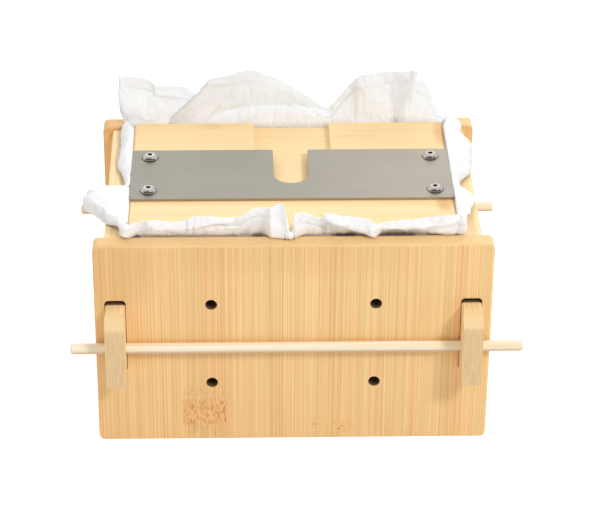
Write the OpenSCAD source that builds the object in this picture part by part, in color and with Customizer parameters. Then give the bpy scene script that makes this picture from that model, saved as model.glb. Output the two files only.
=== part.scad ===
/* [Box] */
// Width of the front and rear panels
panel_w = 200; // [170:1:260]
// Height of the front and rear panels
panel_h = 116; // [100:1:160]
// Depth of the box over the outer faces of the front and rear panels
box_d = 137; // [120:1:200]
// Thickness of the four wall boards
board_t = 10; // [8:0.5:14]
// How far each side panel stands in from the ends of the front panel
side_inset = 5.5; // [5:0.5:12]
// How much lower the side panels are than the front panel
side_drop = 1.5; // [0:0.5:4]
// Corner radius of the front and rear panels, seen from the front
panel_corner_r = 4; // [2:0.5:8]
// Radius of the eased long edges of every board
ease_r = 1.2; // [0.4:0.1:2]

/* [Locking joints] */
// Height of the underside of the tenons
tenon_z = 42.5; // [34:0.5:50]
// Height of each tenon
tenon_h = 39.5; // [30:0.5:48]
// How far a tenon stands out past the panel that it goes through
tenon_out = 16; // [13:0.5:24]
// Radius of the upper outer corner of a tenon
tenon_corner_r = 9; // [3:0.5:10]
// Clearance of a tenon in its slot on each side and below
slot_gap = 0.3; // [0.2:0.1:1]
// Free height in the slot above the tenon
slot_headroom = 2.5; // [1:0.1:4]
// Corner radius of the slots
slot_corner_r = 2; // [1:0.5:4]
// Diameter of the locking dowels
dowel_d = 5.5; // [4:0.5:8]
// How far the locking dowels stand out past the ends of the front panel
dowel_overhang = 14.5; // [6:0.5:40]
// Height of the dowels' axes above the underside of the tenons
dowel_rise = 15.5; // [10:0.5:22]
// How far the front dowel is pushed to the right
front_dowel_shift = 1.9; // [0:0.1:2]
// Radial clearance of a dowel in its tenon holes, and its gap to the panel
dowel_gap = 0.1; // [0.05:0.01:0.1]
// Gap between a side panel's shoulders and the panels that they meet
joint_gap = 0.1; // [0.05:0.05:0.3]

/* [Drain holes] */
// Diameter of the drain holes in the front and rear panels
drain_d = 6; // [4:0.1:8]
// Distance between the two columns of drain holes
drain_spacing = 82.8; // [60:0.2:100]
// Height of the lower drain holes
drain_low_z = 35; // [30:0.5:40]
// Height of the upper drain holes
drain_high_z = 81.7; // [70:0.1:90]
// Distance between the two columns of drain holes in a side panel
side_drain_spacing = 46; // [30:1:70]

/* [Base board] */
// Height of the base board's underside above the floor
base_z = 12; // [8:0.5:16]
// Thickness of the base board
base_t = 8; // [6:0.5:12]
// Depth of the grooves that hold the base board
groove_depth = 4; // [2:0.5:5]
// Clearance of the base board in its grooves
groove_gap = 0.2; // [0.1:0.05:0.4]
// Diameter of the drain holes in the base board
base_hole_d = 6; // [4:0.5:9]
// Distance between the drain holes in the base board
base_hole_pitch = 27; // [20:1:40]

/* [Press board] */
// Thickness of the press board
press_t = 15; // [12:0.5:22]
// How far the press board's top face stands above the rim, as photographed
press_rise = 3.4; // [1:0.1:10]
// Gap between the press board and the walls on each side
press_gap = 2; // [1.8:0.1:4]
// Corner radius of the press board, seen from above
press_corner_r = 3; // [1:0.5:8]
// Width of the channel for the foot of a press screw
channel_w = 43; // [30:1:60]
// Depth of the channel
channel_depth = 3.3; // [2:0.1:6]
// Radius of the round lower edges of the channel
channel_edge_r = 3; // [1:0.5:3]
// How far the middle of the channel's round end lies in front of the box's middle
foot_offset = 4.4; // [0:0.2:8]

/* [Steel plate] */
// Depth of the steel plate from its front edge to its rear edge
plate_d = 52; // [44:0.5:64]
// Distance of the plate's front edge in front of the box's middle
plate_front = 29.5; // [27:0.5:34]
// Thickness of the steel plate
plate_t = 1.5; // [1:0.1:3]
// Width of the notch in the plate's rear edge
notch_w = 18.2; // [12:0.2:24]
// Radius of the rounded mouth of the notch and of the plate's corners
plate_corner_r = 1.5; // [0.5:0.1:3]
// Distance of the screws from the plate's left and right ends
screw_inset_x = 9.3; // [7:0.1:16]
// Distance of the screws from the plate's front and rear edges
screw_inset_y = 8.4; // [7:0.1:12]
// Nominal diameter of the plate screws
screw_d = 4; // [3:0.5:5]
// Length of the screws below their heads
screw_len = 10; // [8:0.5:12]
// Outer diameter of the threaded inserts in the press board
insert_d = 6; // [5.5:0.1:7]
// Length of the threaded inserts
insert_len = 8; // [6:0.5:10]

/* [Cloth] */
// Thickness of the straining cloth with its fine folds
cloth_t = 0.8; // [0.6:0.1:1]
// Gap between the cloth and the wood behind it
cloth_gap = 0.3; // [0.2:0.05:0.4]
// How far inside the rim the lining ends and the folded rim begins
rim_depth = 4; // [3:0.5:8]

/* [Hidden] */

// Small enough to be felt as round and large enough to be a true circle
$fn = 48;
// Extra length of a cut past the face that it opens
over = 1;

bamboo = [0.93, 0.80, 0.58];
pale_bamboo = [0.96, 0.86, 0.64];
dowel_wood = [0.95, 0.88, 0.72];
steel = [0.67, 0.66, 0.63];
polished = [0.85, 0.85, 0.86];
brass = [0.80, 0.66, 0.35];
white = [0.97, 0.97, 0.96];

inner_w = panel_w - 2 * side_inset - 2 * board_t;
inner_d = box_d - 2 * board_t;
side_h = panel_h - side_drop;
// Distance of the side panels' middle planes from the middle of the box
side_x = inner_w / 2 + board_t / 2;
wall_y = inner_d / 2 + board_t / 2;
dowel_y = box_d / 2 + dowel_d / 2 + dowel_gap;
dowel_z = tenon_z + dowel_rise;
dowel_len = panel_w + 2 * dowel_overhang;
slot_w = board_t + 2 * slot_gap;
slot_h = tenon_h + slot_gap + slot_headroom;
base_top = base_z + base_t;

press_top_z = panel_h + press_rise;
press_w = inner_w - 2 * press_gap;
press_d = inner_d - 2 * press_gap;
plate_w = press_w;
plate_y = plate_d / 2 - plate_front;
plate_top_z = press_top_z + plate_t;

// Button head of the plate screws
head_r = screw_d;
head_h = 0.55 * screw_d;
socket_flats = 0.625 * screw_d;
insert_flange_r = insert_d / 2 + 1.5;
insert_flange_t = 1;
thread_gap = 0.05;

// Centre line of the cloth inside the walls
cloth_in = cloth_gap + cloth_t / 2;
// How the cloth folds over each side of the rim, from left to right along the
// front and on around the box. Each fold gives the share of the side's length,
// how far out and how high its crest is, and how far out and how high its free
// edge ends, in millimetres from the upper inner edge of the front panel.
front_folds = [
  [0.02, 1.0, 8, 2.5, 1], [0.06, 1.5, 9.5, 3, 1], [0.09, 2.5, 12, 3, 1], [0.13, 1.5, 9.5, 2, 1],
  [0.17, 2.0, 10, 2.5, 1], [0.21, 3.0, 13.5, 4, 1], [0.27, 2.0, 14, 3, 1], [0.33, 1.5, 11.5, 2, 1],
  [0.37, 3.0, 16, 3, 1], [0.43, 2.0, 18.5, 4, 1], [0.46, 3.0, 19.5, 4.5, 1], [0.48, 1.0, 6, 2, 1],
  [0.50, 2.0, 13.5, 2.5, 1], [0.52, 3.0, 15.5, 3.5, 1], [0.58, 1.5, 11.5, 2, 1], [0.59, 3.0, 14.5, 3, 1],
  [0.64, 2.5, 13, 4, 1], [0.70, 2.0, 11.5, 3, 1], [0.73, 3.0, 11, 5, 1], [0.75, 1.0, 7.5, 3, 1],
  [0.81, 2.0, 9.5, 2.5, 1], [0.91, 2.5, 12, 2, 1], [0.97, 2.0, 12.5, 2.5, 1], [1, 2.0, 12, 3, 1]];
right_folds = [
  [0.08, 1.5, 12, 4, 0], [0.20, 2.0, 10, 7.5, -0.5], [0.30, 3.0, 9, 9.5, -0.5], [0.42, 1.5, 5, 3.5, -0.5],
  [0.53, 2.5, 5, 9, -0.5], [0.69, 3.0, 5.5, 12.5, -2.5], [0.83, 3.0, 6, 13, -3.5], [0.91, 2.5, 5, 9, -0.5],
  [1, 2.5, 6, 9, 1]];
rear_folds = [
  [0.03, 3.5, 9, 6.5, 3], [0.06, 4.5, 18, 7.5, 12], [0.10, 5.5, 31, 8.5, 25], [0.17, 4.5, 29, 7.5, 23],
  [0.23, 5.5, 28, 8.5, 22], [0.28, 4.5, 25, 7.5, 19], [0.33, 4.0, 16, 7, 10], [0.37, 3.0, 8.5, 6, 2.5],
  [0.42, 4.0, 14, 7, 8], [0.49, 5.0, 22.5, 8, 16.5], [0.56, 5.5, 30, 8.5, 24], [0.63, 5.0, 31, 8, 25],
  [0.69, 4.5, 29.5, 7.5, 23.5], [0.75, 6.0, 25.5, 9, 19.5], [0.80, 6.5, 22, 9.5, 16], [0.89, 6.5, 22, 9.5, 16],
  [0.95, 5.5, 26, 8.5, 20], [1, 4.5, 27, 7.5, 21]];
left_folds = [
  [0.04, 1.5, 9, 7.5, -0.5], [0.10, 1.5, 5, 6, -0.5], [0.20, 1.0, 4.5, 4, -0.5], [0.35, 1.5, 4.5, 6, -0.5],
  [0.47, 1.0, 4.5, 3, -0.5], [0.56, 1.0, 4.5, 2.5, -0.5], [0.60, 2.0, 5, 15, -2], [0.64, 3.0, 6, 20, -4],
  [0.72, 3.0, 6, 21.5, -6], [0.78, 3.0, 7, 17, -5], [0.86, 2.5, 8, 12, -0.5], [0.93, 2.0, 8, 6, 0],
  [1, 1.5, 8, 3, 1]];
folds = [front_folds, right_folds, rear_folds, left_folds];
// An extra ring of the cloth lies between two folds further apart than this
long_stretch = 9;
// How far the cloth swings out past its free edge as it folds back from its crest
belly = 3;
// Length of rim over which the cloth turns round a corner of the box
corner_run = 14;

// Shapes that repeat

module round_rect(w, h, r) {
  square([w - 2 * r, h], center = true);
  square([w, h - 2 * r], center = true);
  for (x = [-1, 1], y = [-1, 1]) translate([x * (w / 2 - r), y * (h / 2 - r)]) circle(r);
}

// A board with its face in the XY plane, centred, with face corners of radius r
module eased_board(w, h, t, r) {
  intersection() {
    linear_extrude(t, center = true) round_rect(w, h, r);
    rotate([90, 0, 0]) linear_extrude(h + over, center = true) round_rect(w, t, ease_r);
    rotate([90, 0, 90]) linear_extrude(w + over, center = true) round_rect(h, t, ease_r);
  }
}

module drain_holes(spacing, depth) {
  for (x = [-1, 1], z = [drain_low_z, drain_high_z])
    translate([x * spacing / 2, 0, z]) rotate([90, 0, 0]) cylinder(d = drain_d, h = depth, center = true);
}

// The front panel, standing in its place; the rear panel is its mirror image
module end_panel() {
  difference() {
    translate([0, -wall_y, panel_h / 2]) rotate([90, 0, 0])
      eased_board(panel_w, panel_h, board_t, panel_corner_r);
    for (x = [-1, 1]) translate([x * side_x, -wall_y, tenon_z - slot_gap + slot_h / 2])
      rotate([90, 0, 0]) linear_extrude(board_t + 2 * over, center = true)
        round_rect(slot_w, slot_h, slot_corner_r);
    translate([0, -wall_y, 0]) drain_holes(drain_spacing, board_t + 2 * over);
    base_groove();
  }
}

// The space that the base board takes in the walls, with its clearance
module base_groove() {
  reach = 2 * (groove_depth + groove_gap);
  translate([0, 0, base_z + (base_t + groove_gap) / 2])
    cube([inner_w + reach, inner_d + reach, base_t + groove_gap], center = true);
}

// Both tenons of a side panel as one bar along Y, with their upper tips rounded
module tenon_bar() {
  tip = box_d / 2 + tenon_out;
  intersection() {
    rotate([90, 0, 90]) linear_extrude(board_t, center = true) {
      translate([-tip, tenon_z]) square([2 * tip, tenon_h - tenon_corner_r]);
      translate([tenon_corner_r - tip, tenon_z]) square([2 * (tip - tenon_corner_r), tenon_h]);
      for (s = [-1, 1])
        translate([s * (tip - tenon_corner_r), tenon_z + tenon_h - tenon_corner_r]) circle(tenon_corner_r);
    }
    translate([0, 0, tenon_z + tenon_h / 2]) rotate([90, 0, 0])
      linear_extrude(2 * tip + over, center = true) round_rect(board_t, tenon_h, ease_r);
  }
}

// The right side panel, in its place; the left one is its mirror image
module side_panel() {
  difference() {
    translate([side_x, 0, 0]) {
      translate([0, 0, side_h / 2]) rotate([90, 0, 90])
        eased_board(inner_d - 2 * joint_gap, side_h, board_t, ease_r);
      tenon_bar();
    }
    for (y = [-1, 1]) translate([side_x, y * dowel_y, dowel_z]) rotate([0, 90, 0])
      cylinder(r = dowel_d / 2 + dowel_gap, h = board_t + 2 * over, center = true);
    translate([side_x, 0, 0]) rotate([0, 0, 90]) drain_holes(side_drain_spacing, board_t + 2 * over);
    base_groove();
  }
}

// A dowel along X with slightly rounded ends
module dowel() {
  end_r = dowel_d / 5;
  rotate([0, 90, 0]) rotate_extrude() {
    translate([0, -dowel_len / 2 + end_r]) square([dowel_d / 2, dowel_len - 2 * end_r]);
    translate([0, -dowel_len / 2]) square([dowel_d / 2 - end_r, dowel_len]);
    for (z = [-1, 1]) translate([dowel_d / 2 - end_r, z * (dowel_len / 2 - end_r)]) circle(end_r);
  }
}

module at_screws() {
  for (x = [-1, 1], y = [-1, 1])
    translate([x * (plate_w / 2 - screw_inset_x), plate_y + y * (plate_d / 2 - screw_inset_y), press_top_z])
      children();
}

// A slot open to the rear, with a round front end of the same width
module foot_slot(w) {
  translate([0, -foot_offset]) circle(w / 2);
  translate([-w / 2, -foot_offset]) square([w, inner_d]);
}

// Boards of the box

module front_panel() {
  color(bamboo) end_panel();
}

module rear_panel() {
  color(bamboo) mirror([0, 1, 0]) end_panel();
}

module left_side_panel() {
  color(bamboo) mirror([1, 0, 0]) side_panel();
}

module right_side_panel() {
  color(bamboo) side_panel();
}

module base_board() {
  columns = floor((inner_w / 2 - base_hole_d) / base_hole_pitch);
  rows = floor((inner_d / 2 - base_hole_d) / base_hole_pitch);
  color(pale_bamboo) difference() {
    translate([0, 0, base_z + base_t / 2])
      eased_board(inner_w + 2 * groove_depth, inner_d + 2 * groove_depth, base_t, press_corner_r);
    for (i = [-columns:columns], j = [-rows:rows])
      translate([i * base_hole_pitch, j * base_hole_pitch, base_z - over])
        cylinder(d = base_hole_d, h = base_t + 2 * over);
  }
}

module front_locking_dowel() {
  color(dowel_wood) translate([front_dowel_shift, -dowel_y, dowel_z]) dowel();
}

module rear_locking_dowel() {
  color(dowel_wood) translate([0, dowel_y, dowel_z]) dowel();
}

// The press board and what is screwed to it

module press_board() {
  flat_w = channel_w - 2 * channel_edge_r;
  color(pale_bamboo) difference() {
    translate([0, 0, press_top_z - press_t / 2]) eased_board(press_w, press_d, press_t, press_corner_r);
    // The channel is a flat bottom with a quarter round along its rim
    translate([0, 0, press_top_z - channel_depth]) {
      linear_extrude(channel_depth + over) foot_slot(flat_w);
      translate([0, 0, channel_edge_r]) linear_extrude(channel_depth + over) foot_slot(channel_w);
      translate([0, -foot_offset, channel_edge_r]) rotate_extrude()
        translate([flat_w / 2, 0]) circle(channel_edge_r);
      for (x = [-1, 1]) translate([x * flat_w / 2, -foot_offset, channel_edge_r])
        rotate([-90, 0, 0]) cylinder(r = channel_edge_r, h = inner_d);
    }
    at_screws() {
      translate([0, 0, -insert_len - over]) cylinder(r = insert_d / 2 + thread_gap, h = insert_len + 2 * over);
      translate([0, 0, -screw_len]) cylinder(r = screw_d / 2 + 2 * thread_gap, h = screw_len);
      translate([0, 0, -insert_flange_t]) cylinder(r = insert_flange_r + thread_gap, h = insert_flange_t + over);
    }
  }
}

module slotted_steel_plate() {
  r = plate_corner_r;
  rear = plate_y + plate_d / 2;
  color(steel) difference() {
    translate([0, 0, press_top_z]) linear_extrude(plate_t) difference() {
      translate([0, plate_y]) round_rect(plate_w, plate_d, r);
      foot_slot(notch_w);
      for (x = [-1, 1]) difference() {
        translate([x * (notch_w / 2 + r / 2), rear - r / 2]) square(r + 0.001, center = true);
        translate([x * (notch_w / 2 + r), rear - r]) circle(r);
      }
    }
    at_screws() translate([0, 0, -over]) cylinder(r = screw_d / 2 + 0.25, h = plate_t + 2 * over);
  }
}

module plate_screw() {
  dome_r = (head_r * head_r + head_h * head_h) / (2 * head_h);
  rim_h = 0.3;
  difference() {
    union() {
      intersection() {
        translate([0, 0, plate_t]) cylinder(r = head_r, h = head_h);
        translate([0, 0, plate_t + rim_h + head_h - dome_r]) sphere(dome_r);
      }
      translate([0, 0, plate_t - screw_len]) cylinder(d = screw_d, h = screw_len + rim_h);
    }
    translate([0, 0, plate_t + 0.4 * head_h]) rotate([0, 0, 30])
      cylinder(d = socket_flats / cos(30), h = head_h + over, $fn = 6);
  }
}

module plate_screws() {
  color(polished) at_screws() plate_screw();
}

module threaded_insert() {
  bore_r = screw_d / 2 + thread_gap;
  knurl = 0.3;
  band = insert_len / 5;
  rotate_extrude() {
    translate([bore_r, -insert_len]) square([insert_d / 2 - knurl - bore_r, insert_len]);
    for (i = [0, 2]) translate([bore_r, -insert_len + (i + 0.5) * band])
      square([insert_d / 2 - bore_r, band]);
    translate([bore_r, -insert_flange_t]) square([insert_flange_r - bore_r, insert_flange_t]);
  }
}

module threaded_inserts() {
  color(brass) at_screws() threaded_insert();
}

// The straining cloth

module cloth_lining() {
  low = base_top + cloth_gap;
  high = panel_h - rim_depth;
  w = inner_w - 2 * cloth_gap;
  d = inner_d - 2 * cloth_gap;
  color(white) difference() {
    translate([0, 0, (low + high) / 2]) cube([w, d, high - low], center = true);
    translate([0, 0, (low + high) / 2 + cloth_t])
      cube([w - 2 * cloth_t, d - 2 * cloth_t, high - low], center = true);
  }
}

// A place on the rim: the inner edge at a share of a side, and the way out there
function side_length(side) = side % 2 == 0 ? inner_w : inner_d;
function way_out(side, share) = let(
    length = side_length(side),
    to_end = max(0, 1 - (1 - share) * length / corner_run),
    to_start = max(0, 1 - share * length / corner_run))
  side * 90 - 90 + 45 * (to_end * to_end - to_start * to_start);
function rim_place(side, share) = let(
    along = (share - 0.5) * side_length(side),
    off = side % 2 == 0 ? inner_d / 2 : inner_w / 2,
    a = side * 90 - 90)
  [off * cos(a) - along * sin(a), off * sin(a) + along * cos(a)];

// The folds in order round the box, and the same with rings between far ones
all_folds = [for (side = [0:3], f = folds[side]) [side, f]];
fold_count = len(all_folds);
function stretch(a, b) = a[0] == b[0] ? (b[1][0] - a[1][0]) * side_length(a[0])
  : b[1][0] * side_length(b[0]);
function between(a, b) = a[0] == b[0] ? [a[0], (a[1] + b[1]) / 2]
  : [b[0], [for (i = [0:4]) i == 0 ? b[1][0] / 2 : (a[1][i] + b[1][i]) / 2]];
rings = [for (i = [0:fold_count - 1]) let(a = all_folds[i], b = all_folds[(i + 1) % fold_count])
  each stretch(a, b) > long_stretch ? [a, between(a, b)] : [a]];

// Lowest height of the cloth's centre line over the wood at a point on the rim
function seat(x, y) = let(clear = cloth_gap + cloth_t)
  abs(y) > inner_d / 2 && abs(y) < box_d / 2 + clear && abs(x) < panel_w / 2 + clear ? clear
  : abs(x) > inner_w / 2 && abs(x) < inner_w / 2 + board_t + clear ? clear - side_drop : -panel_h;

// The cloth's centre line over the rim at one fold, as points [out, up]
function drape(c, h, r, e, t) = let(s = 1 - t)
  s * s * [c, h] + 2 * s * t * [r + belly, h + 1] + t * t * [r, e];
function cross_line(f) = [[-cloth_in, -rim_depth], [-cloth_in, 1],
  for (t = [0, 0.33, 0.67, 1]) drape(f[1], f[2], f[3], f[4], t)];
function unit(v) = v / norm(v);
function skin_point(line, i, off) = let(
    last = len(line) - 1,
    d = unit(line[min(last, i + 1)] - line[max(0, i - 1)]))
  line[i] + off * [-d[1], d[0]];
// Points of one ring in space: the inner skin going out, then the outer skin back
function ring_points(ring) = let(
    line = cross_line(ring[1]),
    p = rim_place(ring[0], ring[1][0]),
    a = way_out(ring[0], ring[1][0]),
    n = len(line),
    skin = [for (i = [0:n - 1]) skin_point(line, i, cloth_t / 2),
      for (i = [n - 1:-1:0]) skin_point(line, i, -cloth_t / 2)])
  [for (k = [0:2 * n - 1]) let(
      q = skin[k],
      x = p[0] + q[0] * cos(a),
      y = p[1] + q[0] * sin(a),
      lift = k < n ? 0 : -cloth_t,
      foot = k == 0 || k == 2 * n - 1)
    [x, y, panel_h + (foot ? -rim_depth : max(q[1], seat(x, y) + lift))]];

module cloth_rim() {
  points = [for (ring = rings) each ring_points(ring)];
  n = len(rings);
  m = len(points) / n;
  faces = [for (i = [0:n - 1], k = [0:m - 1]) let(
      a = i * m + k,
      b = i * m + (k + 1) % m,
      c = ((i + 1) % n) * m + (k + 1) % m,
      d = ((i + 1) % n) * m + k)
    each [[a, b, c], [a, c, d]]];
  color(white) polyhedron(points, faces);
}

front_panel();
rear_panel();
left_side_panel();
right_side_panel();
base_board();
front_locking_dowel();
rear_locking_dowel();
press_board();
slotted_steel_plate();
plate_screws();
threaded_inserts();
cloth_lining();
cloth_rim();
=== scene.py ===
"""Looks of a bamboo tofu mold: boards, dowels, steel foot plate, screws and straining cloth."""
import math

import bmesh
import bpy
import numpy as np
from mathutils import Matrix, Vector, noise


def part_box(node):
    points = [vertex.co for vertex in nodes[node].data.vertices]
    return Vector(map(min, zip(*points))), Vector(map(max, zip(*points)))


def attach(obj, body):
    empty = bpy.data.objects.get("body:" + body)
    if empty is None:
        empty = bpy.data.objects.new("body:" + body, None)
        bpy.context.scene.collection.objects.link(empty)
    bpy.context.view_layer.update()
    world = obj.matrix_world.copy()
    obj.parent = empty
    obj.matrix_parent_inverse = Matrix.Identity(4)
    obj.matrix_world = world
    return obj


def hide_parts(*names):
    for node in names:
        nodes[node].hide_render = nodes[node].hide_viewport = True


MM = 0.001
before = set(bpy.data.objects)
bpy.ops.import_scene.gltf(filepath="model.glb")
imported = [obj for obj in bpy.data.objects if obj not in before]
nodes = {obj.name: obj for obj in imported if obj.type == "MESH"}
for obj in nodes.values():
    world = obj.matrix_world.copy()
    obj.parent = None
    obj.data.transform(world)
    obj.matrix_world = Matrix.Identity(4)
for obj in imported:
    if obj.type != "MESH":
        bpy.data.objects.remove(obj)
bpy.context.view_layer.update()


# Camera, fitted to the photograph of 600 by 518 pixels

CAMERA_PLACE = Vector((-28.37, -1097.29, 721.66)) * MM
CAMERA_DOWN = math.radians(30.797)
CAMERA_TURN = math.radians(-1.745)
CAMERA_ROLL = math.radians(0.485)
SENSOR_WIDTH = 36
FOCAL_LENGTH = 144.9


def make_camera():
    data = bpy.data.cameras.new("camera")
    data.sensor_width = SENSOR_WIDTH
    data.lens = FOCAL_LENGTH
    camera = bpy.data.objects.new("camera", data)
    bpy.context.scene.collection.objects.link(camera)
    turn = Matrix.Rotation(CAMERA_TURN, 4, "Z")
    tilt = Matrix.Rotation(math.pi / 2 - CAMERA_DOWN, 4, "X")
    roll = Matrix.Rotation(CAMERA_ROLL, 4, "Z")
    camera.matrix_world = Matrix.Translation(CAMERA_PLACE) @ turn @ tilt @ roll
    bpy.context.scene.camera = camera


# Materials

def colour(red, green, blue):
    """A colour as the eye reads it, 0 to 255, turned into the linear colour of a shader."""
    parts = [c / 255 for c in (red, green, blue)]
    return [c / 12.92 if c <= 0.04045 else ((c + 0.055) / 1.055) ** 2.4 for c in parts] + [1.0]


class Nodes:
    """A tree of shader nodes. Its methods add nodes and return the socket that they give."""

    def __init__(self, tree):
        self.tree = tree

    def add(self, kind, inputs, output=0, **settings):
        node = self.tree.nodes.new(kind)
        for key, value in settings.items():
            setattr(node, key, value)
        for key, value in inputs.items():
            self.feed(node.inputs[key], value)
        return node.outputs[output]

    def feed(self, socket, value):
        if isinstance(value, bpy.types.NodeSocket):
            self.tree.links.new(value, socket)
        else:
            socket.default_value = value

    def parts(self, source="Object"):
        """The three coordinates of a place, or of another output of the texture coordinates."""
        spot = self.add("ShaderNodeTexCoord", {}, source)
        return self.add("ShaderNodeSeparateXYZ", {0: spot}).node.outputs

    def math(self, operation, a, b=0.0):
        return self.add("ShaderNodeMath", {0: a, 1: b}, operation=operation)

    def times(self, a, b):
        return self.math("MULTIPLY", a, b)

    def away(self, coordinates, spot):
        """How far two coordinates are from those of a spot, which are in millimetres."""
        squares = [self.math("POWER", self.math("SUBTRACT", value, place * MM), 2.0)
                   for value, place in zip(coordinates, spot)]
        return self.math("SQRT", self.math("ADD", *squares))

    def spread(self, value, low, high, to_low=0.0, to_high=1.0):
        inputs = {"Value": value, "From Min": low, "From Max": high, "To Min": to_low, "To Max": to_high}
        return self.add("ShaderNodeMapRange", inputs, interpolation_type="SMOOTHSTEP")

    def seen(self):
        """1 where the camera or a shiny or clear face sees it, and 0 where it lights something else."""
        path = self.add("ShaderNodeLightPath", {}).node.outputs
        shiny = self.math("MAXIMUM", path["Is Glossy Ray"], path["Is Transmission Ray"])
        return self.math("MAXIMUM", path["Is Camera Ray"], shiny)


class Finish(Nodes):
    """One procedural material."""

    def __init__(self, name):
        self.material = bpy.data.materials.new(name)
        self.material.use_nodes = True
        super().__init__(self.material.node_tree)
        self.shader = self.tree.nodes["Principled BSDF"]

    def set(self, **values):
        for key, value in values.items():
            self.feed(self.shader.inputs[key.replace("_", " ")], value)

    def place(self, per_mm, shift=(0, 0, 0)):
        """Object coordinates in steps of the given number per millimetre along each axis."""
        spot = self.add("ShaderNodeTexCoord", {}, "Object")
        steps = [s / MM for s in per_mm]
        return self.add("ShaderNodeMapping", {"Vector": spot, "Location": shift, "Scale": steps})

    def noise(self, place, detail=2.0, roughness=0.5, distortion=0.0):
        inputs = {"Vector": place, "Scale": 1.0, "Detail": detail, "Roughness": roughness,
                  "Distortion": distortion}
        return self.add("ShaderNodeTexNoise", inputs)

    def from_middle(self, value, middle_mm, half_mm):
        """How far a place is from a middle, in half widths."""
        return self.math("DIVIDE", self.math("SUBTRACT", value, middle_mm * MM), half_mm * MM)

    def rise(self, value, places, top=1.0):
        """0 up to the first of two places in millimetres, and top from the second on."""
        return self.spread(value, places[0] * MM, places[1] * MM, 0.0, top)

    def window(self, value, low, high, soft):
        """1 between two places in millimetres and 0 outside them, with soft ends."""
        return self.times(self.rise(value, (low, low + soft)), self.rise(value, (high, high - soft)))

    def ramp(self, factor, stops, steps="LINEAR"):
        """A grey along a factor. Each stop is a place and a brightness."""
        socket = self.add("ShaderNodeValToRGB", {"Fac": factor})
        ramp = socket.node.color_ramp
        ramp.interpolation = steps
        while len(ramp.elements) < len(stops):
            ramp.elements.new(0.5)
        for element, (position, value) in zip(ramp.elements, stops):
            element.position = position
            element.color = (value, value, value, 1)
        return socket

    def mix(self, factor, a, b, blend="MIX"):
        return self.add("ShaderNodeMix", {0: factor, 6: a, 7: b}, 2, data_type="RGBA", blend_type=blend)

    def bump(self, height, depth_mm, strength):
        inputs = {"Height": height, "Strength": strength, "Distance": depth_mm * MM}
        self.feed(self.shader.inputs["Normal"], self.add("ShaderNodeBump", inputs))


def dress(obj, finish):
    obj.data.materials.clear()
    obj.data.materials.append(finish.material)


COMB_STEP = 1.2
# Painted shade in holes, slots and other hollows
HOLLOW_SHADE = (78, 54, 34)
# Painted shade, and a few darker spots
SHADE_AND_SPOT_TONE = (206, 146, 84)
# Painted shade on undersides
UNDERSIDE_SHADE = (190, 152, 96)


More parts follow.
